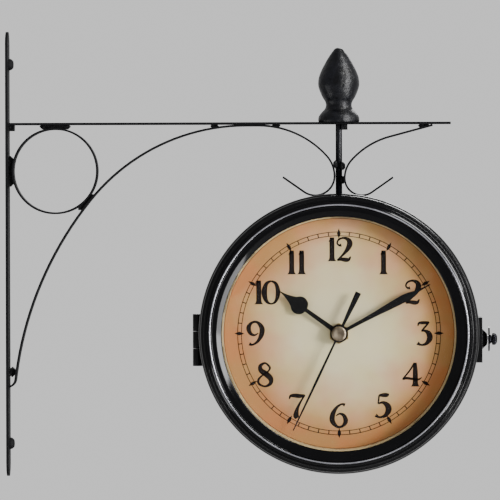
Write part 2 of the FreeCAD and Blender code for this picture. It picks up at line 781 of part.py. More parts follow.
def latch_hasp():
    """Hasp on the front band: a plate with a coned boss, slotted so that it swings off the stud."""
    height = V(0, 0, latch_height / 2)
    near = -stud_setback - leaf_gap - latch_foot
    plate = box(along_stud(plate_inner) + V(0, near, 0) - height,
                along_stud(plate_outer) + V(0, latch_edge, 0) + height)
    foot = box(along_stud(-latch_standoff) + V(0, near, 0) - height,
               along_stud(plate_inner) + V(0, near + latch_foot, 0) + height)
    foot = foot.cut(disc(band_r, -half_depth, half_depth))
    boss = Part.makeCone(boss_base_r, boss_top_r, boss_height, along_stud(plate_outer), V(1, 0, 0))
    width = V(0, 0, stud_r + slot_gap)
    slot = box(along_stud(plate_inner - 1) - width, along_stud(boss_end + 1) + V(0, latch_edge + 1, 0) + width)
    round_end = cylinder(stud_r + slot_gap, along_stud(plate_inner - 1), along_stud(boss_end + 1))
    return plate.multiFuse([foot, boss]).removeSplitter().cut(slot).cut(round_end)


def thumb_washer():
    """Loose washer between the boss and the thumb nut."""
    washer = cylinder(thumb_washer_r, along_stud(washer_start), along_stud(knob_start))
    return washer.cut(cylinder(stud_r + running_gap, along_stud(0), along_stud(knob_start + 1)))


def thumb_nut():
    """Domed thumb nut, bored blind for the stud."""
    waist = along_stud(knob_start + knob_neck)
    brow = waist + V(knob_head * 0.6, 0, 0)
    neck = cylinder(knob_neck_r, along_stud(knob_start), waist)
    head = cylinder(knob_head_r, waist, brow)
    dome = Part.makeCone(knob_head_r, knob_head_r * 0.6, knob_head * 0.4, brow, V(1, 0, 0))
    bore = cylinder(stud_r + running_gap, along_stud(0), along_stud(stud_end + 0.1))
    return neck.multiFuse([head, dome]).cut(bore)


# ---------------------------------------------------------------- assembly
def face_pieces(face):
    """The pieces that both halves of the drum have."""
    makers = {
        "bezel": bezel, "glass": glass, "dial_ring": dial_ring, "dial": dial, "centre_nut": centre_nut,
        "movement": movement, "movement_cover": movement_cover, "battery": battery,
        "battery_contacts": battery_contacts, "set_knob": set_knob, "hour_hand": hour_hand,
        "minute_hand": minute_hand, "second_hand": second_hand, "hub_cap": hub_cap,
    }
    return {face + "_" + name: on_face(make(), face) for name, make in makers.items()}


def all_pieces():
    pieces = {
        "wall_plate": wall_plate(), "arm_bar": arm_bar(), "hoop_ring": hoop_ring(),
        "brace_strip": strip(*brace_path()), "scroll_strip": strip(*scroll_path()),
        "finial_post": finial_post(),
    }
    pieces["frame_welds"] = frame_welds(list(pieces.values()))
    pieces.update({
        "swivel_washer": swivel_washer(), "lock_nuts": lock_nuts(), "saddle": saddle(),
        "front_shell": front_shell(), "rear_shell": rear_shell(),
        "front_hinge_leaf": hinge_leaf(False), "rear_hinge_leaf": hinge_leaf(True), "hinge_pin": hinge_pin(),
        "latch_stud": latch_stud(), "latch_hasp": latch_hasp(), "thumb_washer": thumb_washer(),
        "thumb_nut": thumb_nut(),
    })
    for face in ("front", "rear"):
        pieces.update(face_pieces(face))
    return pieces


os.makedirs("parts", exist_ok=True)
for name, shape in all_pieces().items():
    shape.exportStep("parts/" + name + ".step")
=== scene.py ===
"""Looks of a double sided station clock that hangs below a scrolled wall bracket."""

import math

import bmesh
import bpy
from mathutils import Matrix, Vector


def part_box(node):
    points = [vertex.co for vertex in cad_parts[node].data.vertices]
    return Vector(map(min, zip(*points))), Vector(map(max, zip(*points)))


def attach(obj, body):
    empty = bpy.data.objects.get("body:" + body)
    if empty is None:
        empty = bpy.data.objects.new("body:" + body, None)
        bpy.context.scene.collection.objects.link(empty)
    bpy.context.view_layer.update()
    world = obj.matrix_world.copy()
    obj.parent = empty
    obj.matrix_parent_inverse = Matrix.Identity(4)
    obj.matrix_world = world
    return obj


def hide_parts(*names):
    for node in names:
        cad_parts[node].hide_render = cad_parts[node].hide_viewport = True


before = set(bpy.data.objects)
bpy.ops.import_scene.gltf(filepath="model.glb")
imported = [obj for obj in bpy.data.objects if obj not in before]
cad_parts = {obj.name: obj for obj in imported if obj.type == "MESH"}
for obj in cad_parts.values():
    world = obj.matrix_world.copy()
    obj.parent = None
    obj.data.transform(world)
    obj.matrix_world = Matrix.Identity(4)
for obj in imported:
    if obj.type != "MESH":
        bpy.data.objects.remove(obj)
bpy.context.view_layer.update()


# ---------------------------------------------------------------- bracket strips
# Wall plate, arm, hoop, brace and scroll are flat iron strip, bent and hammered to shape. They are painted
# dull black once they are welded together, and the thin paint follows the hammer marks.
class Wire:
    """One output of a material's nodes. A sum of wires and numbers adds its Math nodes."""

    def __init__(self, socket):
        self.socket = socket

    def node(self, kind, inputs, output=0, stops=(), **settings):
        """Adds a node: first its settings or a ramp's (place, colour) stops, then its numbers and wires."""
        tree = self.socket.id_data
        made = tree.nodes.new("ShaderNode" + kind)
        for name, value in settings.items():
            setattr(made, name, value)
        for _ in stops[2:]:
            made.color_ramp.elements.new(1.0)
        for i, (place, colour) in enumerate(stops):
            made.color_ramp.elements[i].position = place
            made.color_ramp.elements[i].color = (*colour, 1)
        for name, value in dict(inputs).items():
            if isinstance(value, Wire):
                tree.links.new(value.socket, made.inputs[name])
            else:
                made.inputs[name].default_value = value
        return Wire(made.outputs[output])

    def math(self, operation, *others):
        return self.node("Math", enumerate((self,) + others), operation=operation)

    def __add__(self, other):
        return self.math("ADD", other)

    def __sub__(self, other):
        return self.math("SUBTRACT", other)

    def __mul__(self, other):
        return self.math("MULTIPLY", other)

    def __rsub__(self, other):
        return self * -1 + other

    __radd__, __rmul__ = __add__, __mul__

    def noise(self, scale, detail):
        """Cloudy pattern from 0 to 1, with about scale clouds to the metre."""
        return self.node("TexNoise", {"Vector": self, "Scale": scale, "Detail": detail})

    def bump(self, height, depth, strength):
        """Surface that stands out by height times depth metres."""
        return self.node("Bump", {"Height": height, "Distance": depth, "Strength": strength})

    def ramp(self, *stops):
        """Colours at places from 0 to 1, blended in between."""
        return self.node("ValToRGB", {0: self}, stops=stops)

    def mix(self, other, share):
        """This colour with a share of another over it."""
        # A Mix node's sockets 6 and 7 and its output 2 are the ones for colours.
        return self.node("Mix", {0: share, 6: self, 7: other}, output=2, data_type="RGBA")


def tone(*channels):
    """Red, green and blue as the eye reads them, 0 to 255, in the linear values that a shader takes."""
    return tuple(c / 255 / 12.92 if c < 10 else ((c / 255 + 0.055) / 1.055) ** 2.4 for c in channels)


def material(name, look, **even):
    """Material with its even values on the shader's own sockets, and its varying ones from look(place)."""
    made = bpy.data.materials.new(name)
    made.use_nodes = True
    tree = made.node_tree
    shader = tree.nodes["Principled BSDF"]
    for socket, value in even.items():
        shader.inputs[socket.replace("_", " ")].default_value = value
    place = Wire(tree.nodes.new("ShaderNodeTexCoord").outputs["Object"])
    for socket, wire in look(place).items():
        tree.links.new(wire.socket, shader.inputs[socket])
    return made


def give(made, *names):
    """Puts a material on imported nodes, which keep their shape."""
    for name in names:
        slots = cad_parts[name].data.materials
        slots.clear()
        slots.append(made)


def painted_iron(place):
    hammered, grain = place.noise(160, 3), place.noise(900, 4)
    return {"Base Color": (hammered * 0.6 + grain * 0.4).ramp((0.3, tone(5, 5, 6)), (0.7, tone(14, 14, 17))),
            "Roughness": grain * 0.25 + 0.55,
            "Normal": place.bump(hammered * 0.7 + grain * 0.3, 0.0006, 0.5)}


iron = material("painted_iron", painted_iron, Specular_IOR_Level=0.05)
give(iron, "wall_plate", "arm_bar", "hoop_ring", "brace_strip", "scroll_strip")


# ---------------------------------------------------------------- weld lumps
# The strips are joined by short beads of weld metal where they touch. The beads are left as they set, rough
# and lumpy, and are painted with the strips.
def weld_metal(place):
    lumps = place.noise(420, 3)
    return {"Base Color": lumps.ramp((0.3, tone(5, 5, 6)), (0.7, tone(13, 13, 15))),
            "Roughness": lumps * 0.3 + 0.35,
            "Normal": place.bump(lumps, 0.0012, 0.8)}


give(material("weld_metal", weld_metal, Specular_IOR_Level=0.06), "frame_welds")


# ---------------------------------------------------------------- wall screws
# Two round headed steel screws, painted black, go through the wall plate into the wall. Only their turned
# heads show, each with a shallow dent in the middle. From here on sizes are in millimetres.
mm = 0.001
plate_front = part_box("wall_plate")[1].x / mm
screw_height = 110.0                # above and below the middle of the plate
screw_head = [(0, 1.9), (1.2, 1.9), (1.5, 2.9), (2.2, 2.7), (3.1, 1.7), (3.5, 0.5), (3.5, 0)]


def metres(x, y, z):
    """Place in the frame of a point in millimetres."""
    return Vector((x * mm, y * mm, z * mm))


def piece(name, vertices, faces, made, body):
    """Mesh that rides on a body and wears the material it is given."""
    mesh = bpy.data.meshes.new(name)
    mesh.from_pydata([tuple(vertex) for vertex in vertices], [], faces)
    mesh.validate()
    mesh.materials.append(made)
    shape = bpy.data.objects.new(name, mesh)
    bpy.context.scene.collection.objects.link(shape)
    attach(shape, body)
    return shape


def turn_outward(shape):
    """Turns every face so that its front is on the outside."""
    skin = bmesh.new()
    skin.from_mesh(shape.data)
    bmesh.ops.recalc_face_normals(skin, faces=skin.faces)
    skin.to_mesh(shape.data)
    skin.free()


def lathe(name, profile, place, made, body, turns, closed=False):
    """Turned piece. place(radius, angle, distance) gives the place of a (radius, distance) profile point."""
    vertices, rings = [], []
    for r, d in profile:
        on_axis = r < 1e-6 and not closed
        points = [place(0, 0, d)] if on_axis else [place(r, 2 * math.pi * i / turns, d) for i in range(turns)]
        rings.append([len(vertices) + (0 if on_axis else i) for i in range(turns)])
        vertices += points
    faces = []
    for low, high in list(zip(rings, rings[1:])) + ([(rings[-1], rings[0])] if closed else []):
        for i in range(turns):
            j = (i + 1) % turns
            corners = dict.fromkeys((low[i], low[j], high[j], high[i]))
            if len(corners) > 2:
                faces.append(list(corners))
    shape = piece(name, vertices, faces, made, body)
    turn_outward(shape)
    shape.data.shade_smooth()
    return shape


def above_plate(height):
    """Placing of a turned piece that stands on the wall plate at a height."""
    return lambda r, angle, d: metres(plate_front + d, r * math.cos(angle), height + r * math.sin(angle))


for label, height in (("upper", screw_height), ("lower", -screw_height)):
    lathe(label + "_wall_screw", screw_head, above_plate(height), iron, "bracket", turns=32)

# ---------------------------------------------------------------- finial and rod
# A bud turned from cast iron, and in one piece below it the rod that the drum hangs and turns on. It is
# painted with the bracket, and is smoother than the strips, but finely pitted.
dial_low, dial_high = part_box("front_dial")
drum = Vector(((dial_low.x + dial_high.x) / 2, 0, (dial_low.z + dial_high.z) / 2))      # in metres
arm_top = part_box("arm_bar")[1].z / mm
rod_r = 1.9
rod_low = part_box("finial_post")[0].z / mm - arm_top
# (radius, height above the arm)
bud = [(11.6, 0), (11.95, 1.2), (11.6, 3.3), (10.15, 5.4), (8.16, 7.6), (7.45, 9.8), (7.95, 12.0),
       (9.25, 14.1), (10.6, 17.0), (11.6, 19.8), (11.96, 22.1), (11.6, 25.7), (10.3, 29.4), (8.5, 33.0),
       (6.5, 36.6), (4.6, 39.5), (3.1, 41.5), (2.2, 42.5), (1.1, 43.0), (0, 43.1)]


def smooth_line(points, steps):
    """Curve through every point, in steps from each to the next. A point is any row of numbers."""
    row = [points[0]] + list(points) + [points[-1]]
    line = []
    for a, b, c, d in zip(row, row[1:], row[2:], row[3:]):
        for k in range(steps):
            t = k / steps
            line.append(tuple(0.5 * (2 * q + (r - p) * t + (2 * p - 5 * q + 4 * r - s) * t ** 2
                                     + (3 * q - p - 3 * r + s) * t ** 3) for p, q, r, s in zip(a, b, c, d)))
    return line + [tuple(points[-1])]


def above_arm(r, angle, d):
    return metres(drum.x / mm + r * math.cos(angle), r * math.sin(angle), arm_top + d)


def cast_iron(place):
    pits, swells = place.noise(330, 4), place.noise(90, 2)
    return {"Base Color": (swells * 0.5 + pits * 0.5).ramp((0.35, tone(3, 3, 4)), (0.65, tone(14, 15, 21))),
            "Roughness": pits * 0.3 + 0.22,
            "Normal": place.bump(pits * 0.6 + swells * 0.4, 0.0011, 0.7)}


finial_profile = [(0, rod_low), (rod_r, rod_low), (rod_r, -0.2), (rod_r, 0)] + smooth_line(bud, 4)
finial = lathe("turned_finial", finial_profile, above_arm,
               material("cast_iron", cast_iron, Specular_IOR_Level=0.12), "bracket", turns=96)
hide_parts("finial_post")


# ---------------------------------------------------------------- swivel washer and lock nuts
# A washer and a pair of thin nuts on the end of the rod carry the drum. They are turned from bright steel,
# and the fine lines of the tool break up their shine.
def bright_steel(place):
    lines = place.noise(1400, 3)
    return {"Base Color": lines.ramp((0.3, tone(150, 150, 152)), (0.7, tone(190, 190, 192))),
            "Roughness": lines * 0.25 + 0.2,
            "Normal": place.bump(lines, 0.00005, 0.4)}


steel = material("bright_steel", bright_steel, Metallic=1.0)
give(steel, "swivel_washer", "lock_nuts")

# ---------------------------------------------------------------- drum halves and saddle
# The drum is a rear half and a front half that swings open, both of rolled sheet steel. They are sprayed
# with black enamel that has a slight orange peel, and so is the saddle that hangs them on the rod.
half_body = {"front": "front_case", "rear": "clock_body"}       # the body that each half belongs to


def enamel(place):
    peel, dust = place.noise(420, 2), place.noise(90, 4)
    return {"Base Color": dust.ramp((0.3, tone(7, 7, 8)), (0.75, tone(13, 13, 15))),
            "Roughness": dust * 0.16 + 0.18,
            "Normal": place.bump(peel, 0.00012, 0.5)}


drum_black = material("drum_enamel", enamel, Specular_IOR_Level=0.09)
give(drum_black, "front_shell", "rear_shell", "saddle")

# ---------------------------------------------------------------- hinge
# Two leaves pressed from sheet steel, with a bright steel pin through their knuckles. The leaves were
# tumbled before they were enamelled, so every edge is rolled over and catches the light.
leaf_edge = 0.3
flat_within, corner_over, crease_over = 3, 40, 35       # degrees between two faces


def tumbled(node, width, body):
    """Packed sheet metal with its sharp edges rolled over by a width."""
    shaped = bmesh.new()
    shaped.from_mesh(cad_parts[node].data)
    bmesh.ops.remove_doubles(shaped, verts=shaped.verts, dist=1e-6)
    bmesh.ops.dissolve_limit(shaped, angle_limit=math.radians(flat_within), verts=shaped.verts,
                             edges=shaped.edges)
    corners = [edge for edge in shaped.edges
               if edge.is_manifold and edge.calc_face_angle(0) > math.radians(corner_over)]
    bmesh.ops.bevel(shaped, geom=corners, offset=width * mm, segments=3, profile=0.5, affect="EDGES",
                    clamp_overlap=True)
    made = piece(node + "_tumbled", [], [], drum_black, body)
    shaped.to_mesh(made.data)
    shaped.free()
    made.data.shade_smooth()
    made.data.set_sharp_from_angle(angle=math.radians(crease_over))
    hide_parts(node)


for face, body in half_body.items():
    tumbled(face + "_hinge_leaf", leaf_edge, body)
give(steel, "hinge_pin")

# ---------------------------------------------------------------- dial cards
# Each dial is a disc of card that lies in the end of its drum half. It is printed pale in the middle and
# brown in soft clouds towards the edge, as if by age, and more so at the lower left.
facing = {"front": 1, "rear": -1}       # seen from in front of a dial, x runs to the right or to the left
browned_r = 0.067                       # metres from the axis to where the brown is full
more_left, more_low = 1.1, 1.5          # how much browner the card gets to a metre


def about_axis(place):
    """Across, up and distance from the drum's axis, in metres."""
    parts = place.node("SeparateXYZ", {"Vector": place})
    across, up = parts - drum.x, Wire(parts.socket.node.outputs["Z"]) - drum.z
    return across, up, (across * across + up * up).math("SQRT")


def dial_card(face):
    def look(place):
        across, up, distance = about_axis(place)
        clouds, blush, patches = place.noise(26, 3), place.noise(70, 3), place.noise(48, 2)
        age = (distance * (1 / browned_r) + (clouds - 0.5) * 0.55 + (blush - 0.5) * 0.16
               + across * (facing[face] * -more_left) + up * -more_low + 0.05)
        tan = age.ramp((0.28, tone(200, 191, 150)), (0.5, tone(192, 179, 134)), (0.68, tone(182, 156, 108)),
                       (0.84, tone(170, 130, 74)), (0.98, tone(156, 110, 56)))
        pink = age.ramp((0.4, tone(196, 185, 148)), (0.7, tone(184, 144, 104)), (0.98, tone(164, 104, 52)))
        fibres = place.noise(2200, 3)
        return {"Base Color": tan.mix(pink, patches.ramp((0.42, (0, 0, 0)), (0.6, (1, 1, 1)))),
                "Roughness": fibres * 0.15 + 0.55,
                "Normal": place.bump(fibres, 0.00002, 0.4)}
    return material(face + "_dial_card", look, Specular_IOR_Level=0.3)


for face in half_body:
    give(dial_card(face), face + "_dial")

# ---------------------------------------------------------------- print on the dials
# Minute track, hour points, numerals and a thin border are printed on the card in dark brown ink. The ink is
# slightly uneven, and here it is a film just above the card.
dial_out = -dial_low.y / mm         # from the middle of the drum
film = 0.04
track_radii, track_line, tick_half = (56.2, 58.4), 0.4, 0.28
point_radii, point_half, tip_half = (54.6, 57.4, 60.3), 1.1, 0.05
border_r, border_line = 66.2, 0.22
numeral_ring_r, numeral_height, boldness = 48.4, 13.7, 1.42
# The numerals are drawn with a broad pen: a stroke is a row of (across, up, width) in parts of the height.
strokes = {
    "0": [[(0, .98, .05), (-.2, .86, .11), (-.29, .5, .17), (-.2, .14, .11), (0, .02, .05), (.2, .14, .09),
           (.29, .5, .14), (.2, .86, .1), (0, .98, .05)]],
    "1": [[(0, 1, .13), (0, .72, .15), (0, .3, .15), (0, .1, .17), (0, 0, .27)],
          [(-.13, .82, .02), (-.08, .88, .05), (0, .93, .12)]],
    "2": [[(-.1, .68, .1), (-.2, .67, .06), (-.28, .77, .05), (-.2, .92, .06), (0, .98, .07), (.19, .9, .13),
           (.25, .73, .17), (.15, .5, .13), (-.05, .26, .07), (-.27, .04, .05)],
          [(-.28, .03, .04), (-.12, .08, .1), (.06, .06, .13), (.2, .07, .1), (.29, .2, .03)]],
    "3": [[(-.22, .8, .03), (-.18, .92, .07), (0, .94, .1), (.24, .95, .07)],
          [(.25, .97, .05), (.1, .79, .06), (-.06, .6, .05)],
          [(-.08, .59, .04), (.08, .6, .08), (.24, .48, .16), (.27, .27, .17), (.12, .06, .1),
           (-.1, .01, .06), (-.24, .09, .12)]],
    "4": [[(.07, 1, .1), (.08, .6, .15), (.08, .15, .16), (.08, 0, .26)],
          [(.05, .99, .06), (-.17, .65, .05), (-.44, .32, .05)],
          [(-.46, .3, .05), (-.28, .35, .08), (0, .31, .07), (.22, .3, .06), (.36, .39, .02)]],
    "5": [[(-.12, .93, .06), (.05, .94, .12), (.22, .95, .12), (.3, 1, .03)],
          [(-.11, .94, .05), (-.15, .58, .05)],
          [(-.15, .58, .04), (.05, .63, .09), (.24, .5, .17), (.28, .3, .18), (.14, .08, .11),
           (-.1, .01, .06), (-.26, .1, .11)]],
    "6": [[(.24, .93, .1), (.1, .97, .06), (-.12, .82, .09), (-.28, .52, .15), (-.28, .24, .15),
           (-.08, .02, .08), (.14, .05, .08), (.27, .25, .14), (.2, .48, .11), (.03, .57, .06),
           (-.14, .48, .03)]],
    "7": [[(-.33, .8, .03), (-.28, .93, .08), (-.1, .95, .12), (.12, .93, .12), (.32, .96, .06)],
          [(.32, .97, .05), (.14, .68, .06), (0, .38, .1), (-.05, .12, .17), (0, 0, .12)]],
    "8": [[(.2, .84, .07), (.02, .98, .06), (-.18, .86, .11), (-.15, .67, .15), (.06, .52, .17),
           (.25, .33, .16), (.24, .12, .11), (.02, 0, .06), (-.23, .1, .07), (-.26, .28, .07),
           (-.1, .46, .05), (.13, .62, .05), (.22, .75, .06), (.2, .84, .07)]],
}
strokes["9"] = [[(-x, 1 - y, w) for x, y, w in line] for line in strokes["6"]]
digit_spacing = {"1": 0.42, "0": 0.62, "2": 0.58}       # in parts of the height, in numbers of two digits
nudges = {1: (1.5, -1.1), 2: (0.4, -0.5), 4: (0.8, 0.4), 5: (0.3, 0.3), 6: (0, 1.2), 8: (-1.0, 0.6),
          10: (0, -0.5), 11: (-0.1, -1.0)}              # how far right and up an hour is off its even place


def on_face(face, across, up, out):
    """Point seen from in front of a dial: to the right, up, and out from the middle of the drum."""
    return metres(drum.x / mm + facing[face] * across, -facing[face] * out, drum.z / mm + up)


def ring_band(inner, outer):
    """Flat ring: its points in the dial's plane and its faces."""
    turns = 180
    flat = [(r * math.cos(2 * math.pi * i / turns), r * math.sin(2 * math.pi * i / turns))
            for i in range(turns) for r in (inner, outer)]
    count = 2 * turns
    return flat, [(2 * i, 2 * i + 1, (2 * i + 3) % count, (2 * i + 2) % count) for i in range(turns)]


def ribbon(pairs):
    """Flat strip through pairs of points, as its points and its faces."""
    return ([tuple(point) for pair in pairs for point in pair],
            [(2 * k, 2 * k + 1, 2 * k + 3, 2 * k + 2) for k in range(len(pairs) - 1)])


def pen_line(line):
    """Strip along a stroke of (across, up, width) points."""
    pairs = []
    for i, (x, y, width) in enumerate(line):
        x1, y1 = line[max(i - 1, 0)][:2]
        x2, y2 = line[min(i + 1, len(line) - 1)][:2]
        side = Vector((y1 - y2, x2 - x1)) * (width / 2 / (math.hypot(x2 - x1, y2 - y1) or 1))
        pairs.append((Vector((x, y)) + side, Vector((x, y)) - side))
    return ribbon(pairs)


def numeral(text, x, y):
    """The strips of a number centred on a point of the dial."""
    spacing = [digit_spacing.get(digit, 0) for digit in text]
    start = -sum(spacing) / 2
    shapes = []
    for digit, space in zip(text, spacing):
        middle = start + space / 2
        start += space
        shapes += [pen_line([(x + (px + middle) * numeral_height, y + (py - 0.5) * numeral_height,
                              width * boldness * numeral_height) for px, py, width in smooth_line(line, 5)])
                   for line in strokes[digit]]
    return shapes


def minute_mark(minute):
    """Tick across the minute track, or every five minutes a pointed lozenge over it."""
    angle = math.radians(6 * minute)
    along, side = Vector((math.sin(angle), math.cos(angle))), Vector((math.cos(angle), -math.sin(angle)))
    halves = (tip_half, point_half, tip_half) if minute % 5 == 0 else (tick_half, tick_half)
    radii = point_radii if minute % 5 == 0 else track_radii
    return ribbon([(along * r - side * half, along * r + side * half) for r, half in zip(radii, halves)])


def printing_ink(place):
    grain = place.noise(1800, 3)
    return {"Base Color": grain.ramp((0.3, tone(16, 11, 9)), (0.7, tone(28, 20, 16))),
            "Roughness": grain * 0.1 + 0.55}


bands = (track_radii[0], track_line), (track_radii[1], track_line), (border_r, border_line)
printed = [ring_band(r - line / 2, r + line / 2) for r, line in bands]
printed += [minute_mark(minute) for minute in range(60)]
for hour in range(1, 13):
    angle = math.radians(30 * hour)
    right, higher = nudges.get(hour, (0, 0))
    printed += numeral(str(hour), numeral_ring_r * math.sin(angle) + right,
                       numeral_ring_r * math.cos(angle) + higher)
dial_ink = material("dial_ink", printing_ink, Specular_IOR_Level=0.06)
for face, body in half_body.items():
    vertices, sides = [], []
    for flat, flat_sides in printed:
        sides += [[len(vertices) + corner for corner in side] for side in flat_sides]
        vertices += [on_face(face, x, y, dial_out + film) for x, y in flat]
    piece(face + "_dial_print", vertices, sides, dial_ink, body)


# ---------------------------------------------------------------- spacer rings
# A ring of pale cream plastic, finely grained and left unpainted, stands round each dial. It keeps the glass
# off the hands.
def cream_plastic(place):
    grain = place.noise(1200, 2)
    return {"Base Color": grain.ramp((0.3, tone(168, 146, 100)), (0.7, tone(184, 164, 118))),
            "Roughness": grain * 0.15 + 0.4}


cream = material("cream_plastic", cream_plastic)
give(cream, "front_dial_ring", "rear_dial_ring")


# ---------------------------------------------------------------- movements
# Behind each dial sits a quartz movement in a case, cover and knob of black moulded plastic, finely
# textured. A slightly tarnished brass nut holds it to the dial, and brass springs hold its cell, which has a
# plain sleeve.
def moulded(place):
    grain = place.noise(2600, 2)
    return {"Base Color": grain.ramp((0.3, tone(20, 20, 21)), (0.7, tone(30, 30, 32))),
            "Roughness": grain * 0.2 + 0.45,
            "Normal": place.bump(grain, 0.00008, 0.6)}


def brass(place):
    tarnish = place.noise(300, 4)
    return {"Base Color": tarnish.ramp((0.3, tone(96, 78, 48)), (0.7, tone(150, 128, 84))),
            "Roughness": tarnish * 0.3 + 0.2,
            "Normal": place.bump(tarnish, 0.00005, 0.3)}


def cell_sleeve(place):
    shade = place.noise(40, 1)
    return {"Base Color": shade.ramp((0.3, tone(32, 46, 58)), (0.7, tone(44, 60, 74))),
            "Roughness": shade * 0.1 + 0.22}


moulded_black = material("moulded_case", moulded, Specular_IOR_Level=0.3)
tarnished_brass = material("brass", brass, Metallic=1.0)
sleeve = material("cell_sleeve", cell_sleeve)
for face in half_body:
    give(moulded_black, face + "_movement", face + "_movement_cover", face + "_set_knob")
    give(tarnished_brass, face + "_centre_nut", face + "_battery_contacts")
    give(sleeve, face + "_battery")

# ---------------------------------------------------------------- hands
# Stamped from thin sheet, painted satin black and pushed on their arbors. Minute and second hand have a
# faint ridge and a round collet with a short post behind it, and the second hand's broad tail balances its
# needle. A row is the distance from the hub and half the width there.
minute_rows = [(-2, 1.3), (5.9, 1.0), (15, 1.15), (24, 1.45), (31, 1.85), (37, 2.15), (42.5, 2.3), (46, 1.95),
               (48.5, 1.35), (51.5, 0.75), (55, 0.5), (59.5, 0.3)]
second_rows = [(-26.2, 1.7), (-24, 1.65), (-15, 1.3), (-6, 0.85), (0, 0.75), (6, 0.6), (18, 0.68), (28, 0.75),
               (40, 0.62), (52, 0.48), (61.5, 0.3)]
blade_ridge, blade_edge = 0.5, 0.375        # how thick the sheet is along its middle and at its edge
post_length, eye_r = 2.0, 0.6


def about_dial(face):
    """Placing of a turned piece round the drum's axis."""
    return lambda r, angle, d: on_face(face, r * math.cos(angle), r * math.sin(angle), d)


def hand_paint(place):
    grain = place.noise(1500, 3)
    return {"Base Color": grain.ramp((0.3, tone(5, 5, 6)), (0.7, tone(9, 9, 10))),
            "Roughness": grain * 0.2 + 0.3,
            "Normal": place.bump(grain, 0.00004, 0.4)}


def stamped_hand(face, kind, blade, rows, clockwise, back, collet_r, collet_front, post_r):
    """Hand at an angle clockwise from twelve. Back and collet_front are distances from the drum's middle."""
    turns, turn = 40, math.radians(clockwise)
    along, across = Vector((math.sin(turn), math.cos(turn))), Vector((math.cos(turn), -math.sin(turn)))
    section = ((-1, 0), (-1, blade_edge), (0, blade_ridge), (1, blade_edge), (1, 0))
    vertices = []
    for distance, half in rows:
        for side, thickness in section:
            vertices.append(on_face(face, *(along * distance + across * side * half), back + thickness))
    faces = [(5 * k + i, 5 * k + (i + 1) % 5, 5 * k + 5 + (i + 1) % 5, 5 * k + 5 + i)
             for k in range(len(rows) - 1) for i in range(5)]
    last = len(vertices) - 5
    faces += [(4, 3, 2, 1, 0), tuple(range(last, last + 5))]
    hub = ((post_r, back - post_length), (post_r, back), (collet_r, back), (collet_r, collet_front),
           (eye_r, collet_front))
    for ring, (r, out) in enumerate(hub):
        first = len(vertices)
        vertices += [about_dial(face)(r, 2 * math.pi * i / turns, out) for i in range(turns)]
        if ring > 0:
            faces += [(first - turns + i, first - turns + (i + 1) % turns, first + (i + 1) % turns, first + i)
                      for i in range(turns)]
    shape = piece(f"{face}_{kind}_hand_{blade}", vertices, faces, hand_black, f"{face}_{kind}")
    turn_outward(shape)
    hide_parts(f"{face}_{kind}_hand")


hand_black = material("hand_paint", hand_paint, Specular_IOR_Level=0.1)
for face in half_body:
    give(hand_black, face + "_hour_hand")
    stamped_hand(face, "minute", "blade", minute_rows, clockwise=61.7, back=25.8,
                 collet_r=5.1, collet_front=27.0, post_r=1.6)
    stamped_hand(face, "second", "needle", second_rows, clockwise=205.4, back=28.2,
                 collet_r=3.4, collet_front=28.7, post_r=0.5)

# ---------------------------------------------------------------- hub caps
# Caps of spun nickel with a low raised rim, pressed on the hubs of the second hands. They show fine turning
# rings and a brownish tarnish.
cap_low, cap_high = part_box("front_hub_cap")
cap_r = (cap_high.x - cap_low.x) / 2 / mm
cap_back, cap_front = -cap_high.y / mm, -cap_low.y / mm
ring_pitch = 9000                   # radians to the metre, which is about 1,400 turning rings


def rounded(corners):
    """Outline through (radius, distance, fillet) corners, each rounded by its fillet."""
    line, steps = [], 5
    for i, (r, d, fillet) in enumerate(corners):
        here = Vector((r, d))
        before = Vector(corners[i - 1][:2]) - here
        after = Vector(corners[(i + 1) % len(corners)][:2]) - here
        reach = min(fillet, before.length * 0.45, after.length * 0.45)
        if reach < 1e-6:
            line.append(here)
            continue
        start, end = here + before.normalized() * reach, here + after.normalized() * reach
        for k in range(steps + 1):
            t = k / steps
            line.append(start * (1 - t) ** 2 + here * 2 * t * (1 - t) + end * t ** 2)
    return [(point.x, point.y) for point in line]


def spun_nickel(place):
    rings = (about_axis(place)[2] * ring_pitch).math("SINE")
    tarnish = place.noise(380, 4)
    return {"Base Color": tarnish.ramp((0.35, tone(98, 88, 74)), (0.65, tone(128, 117, 100))),
            "Roughness": tarnish * 0.2 + 0.25,
            "Normal": place.bump(rings, 0.00001, 0.4)}


nickel = material("spun_nickel", spun_nickel, Metallic=1.0)
cap_profile = rounded([(0, cap_front - 0.35, 0), (cap_r * 0.3, cap_front - 0.25, 0.6),
                       (cap_r * 0.72, cap_front, 0.5), (cap_r * 0.9, cap_front - 0.12, 0.3),
                       (cap_r, cap_front - 0.7, 0.3), (cap_r, cap_back, 0.1), (0, cap_back, 0)])
for face in half_body:
    cap = lathe(face + "_spun_cap", cap_profile, about_dial(face), nickel, face + "_second",
                turns=64)
    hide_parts(face + "_hub_cap")


# ---------------------------------------------------------------- glasses
# A disc of flat clear glass over each dial, held in the skirt of its bezel. From the front it hardly shows,
# and its reflection grows at a slant.
def clear_glass(place):
    slant = place.node("LayerWeight", {"Blend": 0.5}, output="Facing")
    smear = place.noise(35, 3)
    return {"Alpha": slant * slant * slant * 0.3 + 0.008, "Roughness": smear * 0.05 + 0.02}


glass = material("clear_glass", clear_glass, Base_Color=(0.02, 0.022, 0.022, 1), Specular_IOR_Level=0.4)
glass.surface_render_method = "BLENDED"
give(glass, "front_glass", "rear_glass")
